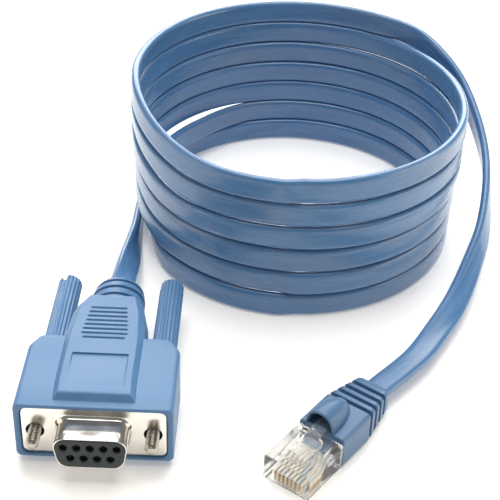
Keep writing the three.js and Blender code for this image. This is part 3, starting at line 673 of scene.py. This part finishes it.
# %% Placing on the plug's axis
PLUG_PLACE, PLUG_TURN, PLUG_Z = np.array([40.8, -5.5]), math.radians(35.5), 3.7
plug_axis = np.array([math.sin(PLUG_TURN), math.cos(PLUG_TURN)])


def on_plug(y):
    """A point on the plug's axis, y millimetres behind its nose, and the flat turn there."""
    return [*(PLUG_PLACE + plug_axis * y), PLUG_Z, 90]


def set_plug(points):
    """Turns points that were drawn along Y to where the plug lies."""
    x, y, z = np.asarray(points).T
    return np.column_stack([PLUG_PLACE[0] + x * math.cos(PLUG_TURN) + y * math.sin(PLUG_TURN),
                            PLUG_PLACE[1] - x * math.sin(PLUG_TURN) + y * math.cos(PLUG_TURN), z])


def set_hump(points):
    """The hump sits a little to the left on the boot."""
    return set_plug(points - (0.75, 0, 0))

# %% [markdown]
# ## Clear body and blades
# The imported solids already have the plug's true form, and only their edges are too sharp for clear
# plastic, which shows each edge as a bright line. A welded copy with a narrow Bevel modifier is enough.

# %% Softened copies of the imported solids
def softened_copy(name, source, width, made_of):
    """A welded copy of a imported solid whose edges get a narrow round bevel."""
    work = bmesh.new()
    work.from_mesh(nodes[source].data)
    bmesh.ops.remove_doubles(work, verts=work.verts, dist=1e-6)
    bmesh.ops.dissolve_limit(work, angle_limit=math.radians(1.5), verts=work.verts, edges=work.edges)
    mesh = bpy.data.meshes.new(name)
    work.to_mesh(mesh)
    work.free()
    mesh.materials.clear()
    mesh.materials.append(made_of)
    mesh.polygons.foreach_set("use_smooth", np.ones(len(mesh.polygons), bool))
    mesh.set_sharp_from_angle(angle=math.radians(35))
    piece = bpy.data.objects.new(name, mesh)
    bpy.context.scene.collection.objects.link(piece)
    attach(piece, BODY)
    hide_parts(source)
    bevel = piece.modifiers.new("round edges", "BEVEL")
    bevel.width, bevel.segments, bevel.limit_method = width * MM, 2, "ANGLE"
    bevel.angle_limit, bevel.harden_normals = math.radians(28), False
    print(f"{name}: {len(mesh.polygons)} faces before the bevel")
    return piece


plug_pieces = [softened_copy("clear_plug", "plug_body", 0.12, clear)]
plug_pieces += [softened_copy(f"gold_blade_{n}", f"plug_contact_{n}", 0.05, gold)
                for n in range(1, 9)]

# %% [markdown]
# ## The wires in the plug
# Inside the clear body, eight thin wires fan out from the jacket's width to the pitch of the blades. A
# curve with a bevel could be each wire. Here a circle is carried along a short path whose sideways place
# goes from one spacing to the other by a smooth step.

# %% Wires inside the plug
WIRES = [("white_grey", (0.86, 0.85, 0.82)), ("orange", (0.88, 0.82, 0.72)), ("black", (0.70, 0.69, 0.67)),
         ("red", (0.86, 0.77, 0.70)), ("green", (0.78, 0.80, 0.74)), ("yellow", (0.90, 0.86, 0.68)),
         ("blue", (0.68, 0.74, 0.80)), ("brown", (0.80, 0.75, 0.66))]
BLADE_PITCH, WIRE_PITCH, WIRE_RADIUS = 1.02, 0.66, 0.4
wire_y = np.linspace(1.0, 9.6, 24)
mix = smooth_step(wire_y, 5.5, 9.2)
wire_outline = circle(WIRE_RADIUS, 0, 0, 14)
for n, (label, colour) in enumerate(WIRES):
    place_x = (n - 3.5) * (BLADE_PITCH * (1 - mix) + WIRE_PITCH * mix)
    centre = np.stack([place_x, 3.1 + 0.6 * mix], -1)
    plastic = finish(f"wire_{label}", colour, 0.35, 0, 0.05, 3000, 400, 0.05)
    plug_pieces.append(make_piece(
        f"wire_{n + 1}", [tube(rows_at(centre[:, None] + wire_outline, wire_y), (True, True))],
        place=set_plug, material=plastic))

# %% [markdown]
# ## The snagless boot
# A soft sleeve slides over the plug's tail. Behind, it narrows and has four grooves, so it bends with the
# cable. The sleeve is one skin, from the socket that holds the plug, over the outside, to the bore for the
# cable. The grooves are part of the formula for its half width and half height, which keeps their edges
# crisp without a boolean.

# %% Sleeve with its grooves
BOOT_FRONT, BOOT_BACK, BOOT_TOP = 12.8, 34.4, 8.0
groove_y = BOOT_BACK - 3.2 - 2.4 * np.arange(4)
outer_y = np.unique(np.round(np.concatenate([
    np.linspace(BOOT_FRONT + 0.4, BOOT_BACK - 0.9, 30),
    (groove_y[:, None] + [-0.62, -0.5, -0.42, -0.36, -0.2, 0, 0.2, 0.36, 0.42, 0.5, 0.62]).ravel()]), 3))


def boot_halves(y):
    """Half width and half height: straight, then narrowing, drawn in at each groove."""
    cut = 1.1 * np.max([1 - smooth_step(np.abs(y - at), 0.36, 0.58) for at in groove_y], 0)
    back = np.clip((y - 23.2) / (BOOT_BACK - 23.2), 0, 1)
    return 5.84 - 1.74 * back ** 1.15 - cut, 4.0 - 1.2 * back ** 1.1 - cut


half_x, half_z = boot_halves(outer_y)
middle_z = BOOT_TOP / 2
sleeve_rows = rounded(rectangle(half_x, half_z, middle_z), 0.95, between=5)
front_outline = rounded(rectangle(5.84, 4.0, middle_z), 0.95, between=5)[0]
front_rows, front_rows_y = edge_rows(front_outline, BOOT_FRONT, 0.3, -1, 3)
end_x, end_z = boot_halves(np.array([BOOT_BACK]))
end_rows, end_y = edge_rows(rounded(rectangle(end_x, end_z, middle_z), 0.95, between=5)[0], BOOT_BACK, 0.8, 1)
socket = rounded(rectangle(4.95, 2.85, PLUG_Z), 0.4, between=5)[0]
bore = rounded(rectangle(3.3, 1.32, PLUG_Z), 1.0, between=5)[0]
boot_rows = [socket, socket, *front_rows[::-1], *sleeve_rows, *end_rows, bore, bore]
boot_y = [20.5, BOOT_FRONT, *front_rows_y[::-1], *outer_y, *end_y, BOOT_BACK, 22.0]
sleeve_part = tube(rows_at(boot_rows, boot_y), (True, True))

# %% [markdown]
# ## The hump over the latch
# A hollow hump covers the end of the latch, so that it can't catch when the cable is pulled. It is a shell
# like half a bullet, open to the front. A scaled sphere would be round in every direction. Arched rows that
# shrink towards the back keep the straight sides and the thick, rounded lip of the real one.

# %% Hump over the latch
HUMP_HALF, HUMP_TALL, HUMP_LONG, HUMP_WALL = 3.7, 4.35, 10.1, 0.8
arch_angle = np.linspace(0, math.pi, 37)


def arch_row(half, tall, base):
    """A closed loop: an arch of cosine and a flattened sine, and a flat bottom edge."""
    arch = np.stack([half * np.cos(arch_angle), base + (BOOT_TOP - base + tall) * np.sin(arch_angle) ** 0.82], -1)
    share = np.linspace(0, 1, 12)[1:-1, None]
    return np.concatenate([arch, arch[-1] * (1 - share) + arch[0] * share])


swell = np.sin(np.linspace(0, math.pi / 2, 16))
back_share = np.sqrt(np.clip(1 - swell ** 2, 0.0004, 1))
outer = [arch_row(HUMP_HALF * s ** 0.9, HUMP_TALL * s, 7.1) for s in back_share]
outer_hump_y = BOOT_FRONT + 2.6 + (HUMP_LONG - 2.6) * swell
lip_angle = np.linspace(0, math.pi, 7)
inwards = (0.5 - 0.5 * np.cos(lip_angle)).tolist()
lip = [arch_row(HUMP_HALF - HUMP_WALL * s, HUMP_TALL - HUMP_WALL * s, 7.1 + 0.94 * s) for s in inwards]
lip_y = BOOT_FRONT + 0.4 - 0.4 * np.sin(lip_angle)
inside = arch_row(HUMP_HALF - HUMP_WALL, HUMP_TALL - HUMP_WALL, 8.04)
hump_rows = [*outer[::-1], *lip, inside, inside * (0.9, 1)]
hump_y = [*outer_hump_y[::-1], *lip_y, BOOT_FRONT + 5.6, BOOT_FRONT + 6.2]
hump_part = tube(rows_at(hump_rows, hump_y), (True, True))
boot = make_piece("snagless_boot", [sleeve_part], place=set_plug, material=boot_blue, replaces=["plug_boot"],
                  sharp=50)
hump = make_piece("latch_hump", [hump_part], place=set_hump, material=boot_blue, replaces=["plug_boot"],
                  sharp=50)
plug_pieces += [boot, hump]

# %% [markdown]
# ## The cord's route
# The cable is one flat strip 2 m long. It leaves the hood nearly flat, turns up on its edge,
# winds a little over six times round with each turn standing on the one below, and comes round outside
# the coil to the plug, lying flat again. One smooth curve carries the whole length, and a second list says
# how far the strip is turned about that curve: 0 degrees on edge, 90 flat.

# %% The coil's centreline
CABLE_W, CABLE_T = 6.34, 2.2
PITCH_FRONT, PITCH_BACK = 6.5, 6.13
FIRST_TURN, LAST_TURN = 0.262, 6.589


def coil_route(turns):
    """Points and lean of the coil for a count of turns, starting at the front and running clockwise.

    Each turn is an oval. A strip stands at a level number times the pitch, and climbs one level on the
    left, the upper turns sooner than the lower ones, which opens the thin gaps seen there. There the
    first full turn is tucked inwards, and the lead from the connector passes outside it.
    """
    number = np.floor(turns)
    part = turns - number
    angle = np.radians(-90 - 360 * part)
    share = np.clip(number / 6, 0, 1)
    level = np.maximum(0, number - 1 + smooth_step(part, 0.17 - 0.10 * share, 0.335 - 0.075 * share))
    back = 0.5 + 0.5 * np.sin(angle)
    pitch = PITCH_FRONT + (PITCH_BACK - PITCH_FRONT) * back
    z = 3.27 + level * pitch
    tall = z / 40
    tucked = smooth_step(part, 0.13, 0.20) * (1 - smooth_step(part, 0.37, 0.46))
    outside = np.where(number == 1, -2.45 * tucked, 0)
    wander = 0.22 * np.sin(2.3 * number + 1.1 + angle) + 0.18 * np.sin(5.1 * number + 2 * angle)
    wander *= 1 - 0.8 * back
    rx = 43.02 + 1.84 * tall - CABLE_T / 2 + outside + wander
    ry = 46.06 + 2.01 * tall - CABLE_T / 2 + outside + wander
    x = 42.25 + 0.46 * tall + rx * np.cos(angle)
    y = 100.45 + 2.93 * tall + ry * np.sin(angle)
    lean = 3.0 * np.sin(1.7 * number + angle) + 2.0 * np.sin(3.3 * number - 2 * angle + 0.6)
    return np.stack([x, y, z], -1), lean


coil_points, coil_lean = coil_route(np.arange(FIRST_TURN, LAST_TURN, 0.0125))
print(f"coil: {len(coil_points)} points, top strip at z = {coil_points[:, 2].max():.1f} mm")

# %% The whole route, with both leads
RELIEF_END, RING_STEP = 51, 1.25
lead_in = np.array([
    [0, 45, AXIS_Z, -80], [0, 48, AXIS_Z, -80], [0, RELIEF_END, AXIS_Z, -80], [0, 58, 7.2, -74],
    [0.1, 67, 5.0, -60], [0.3, 75, 4.0, -36], [0.4, 83, 3.5, -14], [0.3, 91, 3.3, -4],
])
lead_out = np.array([
    [78.1, 137.5, 37.9, 0], [83.3, 132.4, 35.0, 0], [88.7, 125.6, 30.2, 0], [92.5, 116.9, 24.6, 2],
    [94.7, 107.8, 19.2, 6], [95.0, 98.9, 14.8, 12], [94.0, 90, 11, 20], [92.2, 81.5, 8.4, 30],
    [89.2, 72.5, 6.6, 42], [85.8, 63.2, 5.4, 55], [81.7, 53.8, 4.5, 68], [77, 45, 4.0, 80],
    [71.9, 36.2, 3.8, 88], on_plug(36), on_plug(25.4), on_plug(17.4), on_plug(9.2),
])
stations = np.concatenate([lead_in, np.column_stack([coil_points, coil_lean]), lead_out])


def cubic_through(values, marks, wanted):
    """A natural cubic spline through the values, worked out for each column at once."""
    gaps = np.diff(marks)
    count = len(marks)
    system = np.zeros((count, count))
    right = np.zeros((count, values.shape[1]))
    system[0, 0] = system[-1, -1] = 1
    inner = np.arange(1, count - 1)
    system[inner, inner - 1] = gaps[:-1]
    system[inner, inner] = 2 * (gaps[:-1] + gaps[1:])
    system[inner, inner + 1] = gaps[1:]
    slopes = np.diff(values, axis=0) / gaps[:, None]
    right[1:-1] = 6 * np.diff(slopes, axis=0)
    bend = np.linalg.solve(system, right)
    at = np.clip(np.searchsorted(marks, wanted) - 1, 0, count - 2)
    gap = gaps[at][:, None]
    low, high = (marks[at + 1] - wanted)[:, None], (wanted - marks[at])[:, None]
    return ((bend[at] * low ** 3 + bend[at + 1] * high ** 3) / (6 * gap)
            + (values[at] / gap - bend[at] * gap / 6) * low
            + (values[at + 1] / gap - bend[at + 1] * gap / 6) * high)


steps = np.linalg.norm(np.diff(stations[:, :3], axis=0), axis=1)
marks = np.concatenate([[0], np.cumsum(steps)])
dense = cubic_through(stations, marks, np.arange(0, marks[-1], RING_STEP))
route, turn = dense[:, :3], np.radians(dense[:, 3])

# %% [markdown]
# ## The flat jacket
# The section is a flat strip with round edges: two straight faces and two half circles. At each point of
# the route the section is set square to it. Its width points along a direction found from the vertical,
# turned by the second list. A Blender curve with a bevel would choose its own twist, and here the twist
# is what makes the strip stand in the coil and lie flat at the plug.

# %% The cord as one skin
def flat_section(width, thickness, around=9):
    """A stadium outline: half circles of the thickness on the two short ends, straight between."""
    half = thickness / 2
    bow = np.linspace(-math.pi / 2, math.pi / 2, around)
    right = np.stack([width / 2 - half + half * np.cos(bow), half * np.sin(bow)], -1)
    flat = np.linspace(width / 2 - half, -(width / 2 - half), 8)[1:-1]
    top = np.stack([flat, np.full_like(flat, half)], -1)
    return np.concatenate([right, top, -right, -top])


def sweep(path, turning, section):
    """Each ring is the path's point plus the section's two numbers along width and thickness."""
    along = np.gradient(path, axis=0)
    along /= np.linalg.norm(along, axis=1, keepdims=True)
    side = np.cross(along, [0, 0, 1.0])
    side /= np.linalg.norm(side, axis=1, keepdims=True)
    rise = np.cross(side, along)
    across = rise * np.cos(turning)[:, None] + side * np.sin(turning)[:, None]
    out = np.cross(along, across)
    return path[:, None] + across[:, None] * section[:, :1] + out[:, None] * section[:, 1:]


section = flat_section(CABLE_W, CABLE_T)
rings = sweep(route, turn, section)
cord_piece = make_piece("flat_cable", [tube(rings, (True, True))], sharp=60, material=cable_blue,
                        replaces=["cable_coil", "cable_lead_connector", "cable_lead_plug"])

# %% A map that runs along the cord
count, ROUND = len(section), 0.016
run = cord_piece.data.uv_layers.new(name="run")
loop_points = np.empty(len(cord_piece.data.loops), int)
cord_piece.data.loops.foreach_get("vertex_index", loop_points)
ring_number = np.minimum(loop_points // count, len(route) - 1)
around = (loop_points % count) / count
uv = np.column_stack([ring_number * RING_STEP * MM, around * ROUND])
run.data.foreach_set("uv", uv.ravel().astype(np.float32))
print(f"cord: lowest z {rings[..., 2].min():.2f} mm")

# %% [markdown]
# ## Light and floor
# The photograph is a catalogue picture: a white sweep, one very large soft light overhead, and warm
# bounce from the left and the right. The floor gives off a little light of its own, which keeps it plain
# white, and a large lamp behind puts the sheen on the coil's top edges.

# %% Studio
def lamp(name, place, target, size, power, colour, size_y=None):
    """A rectangular area lamp at a place, turned towards a target, both in metres."""
    data = bpy.data.lights.new(name, "AREA")
    data.shape, data.size, data.size_y = "RECTANGLE", size, size_y or size
    data.energy, data.color = power, colour
    made = bpy.data.objects.new(name, data)
    bpy.context.scene.collection.objects.link(made)
    made.location = place
    made.rotation_euler = (Vector(target) - Vector(place)).to_track_quat("-Z", "Y").to_euler()


floor_mesh = bpy.data.meshes.new("floor")
floor_mesh.from_pydata([(-3, -3, 0), (3, -3, 0), (3, 3, 0), (-3, 3, 0)], [], [(0, 1, 2, 3)])
floor = bpy.data.objects.new("floor", floor_mesh)
bpy.context.scene.collection.objects.link(floor)
floor_white = material("white_sweep", (0.94, 0.92, 0.89), 0.75, Emission_Strength=0.22,
                       Emission_Color=(1, 1, 1, 1))[0]
floor_mesh.materials.append(floor_white)
world = bpy.data.worlds.new("studio")
bpy.context.scene.world = world
world.use_nodes = True
background = world.node_tree.nodes["Background"]
background.inputs["Color"].default_value = (1.0, 0.99, 0.97, 1)
background.inputs["Strength"].default_value = 0.22
lamp("overhead", (0.05, 0.22, 1.1), (0.04, 0.06, 0), 0.9, 13.0, (1.0, 0.995, 0.98))
lamp("back_sheen", (0.04, 1.05, 0.62), (0.03, 0.06, 0.02), 1.3, 14.0, (1.0, 1.0, 1.0), 0.6)
lamp("left_bounce", (-0.62, -0.1, 0.16), (0.03, 0.07, 0.02), 0.5, 0.9, (1.0, 0.84, 0.66), 0.3)
lamp("right_bounce", (0.72, -0.05, 0.16), (0.05, 0.07, 0.02), 0.5, 1.5, (1.0, 0.86, 0.70), 0.3)
bpy.context.scene.view_settings.view_transform = "Standard"

print(len(bpy.data.lights), "lamps")
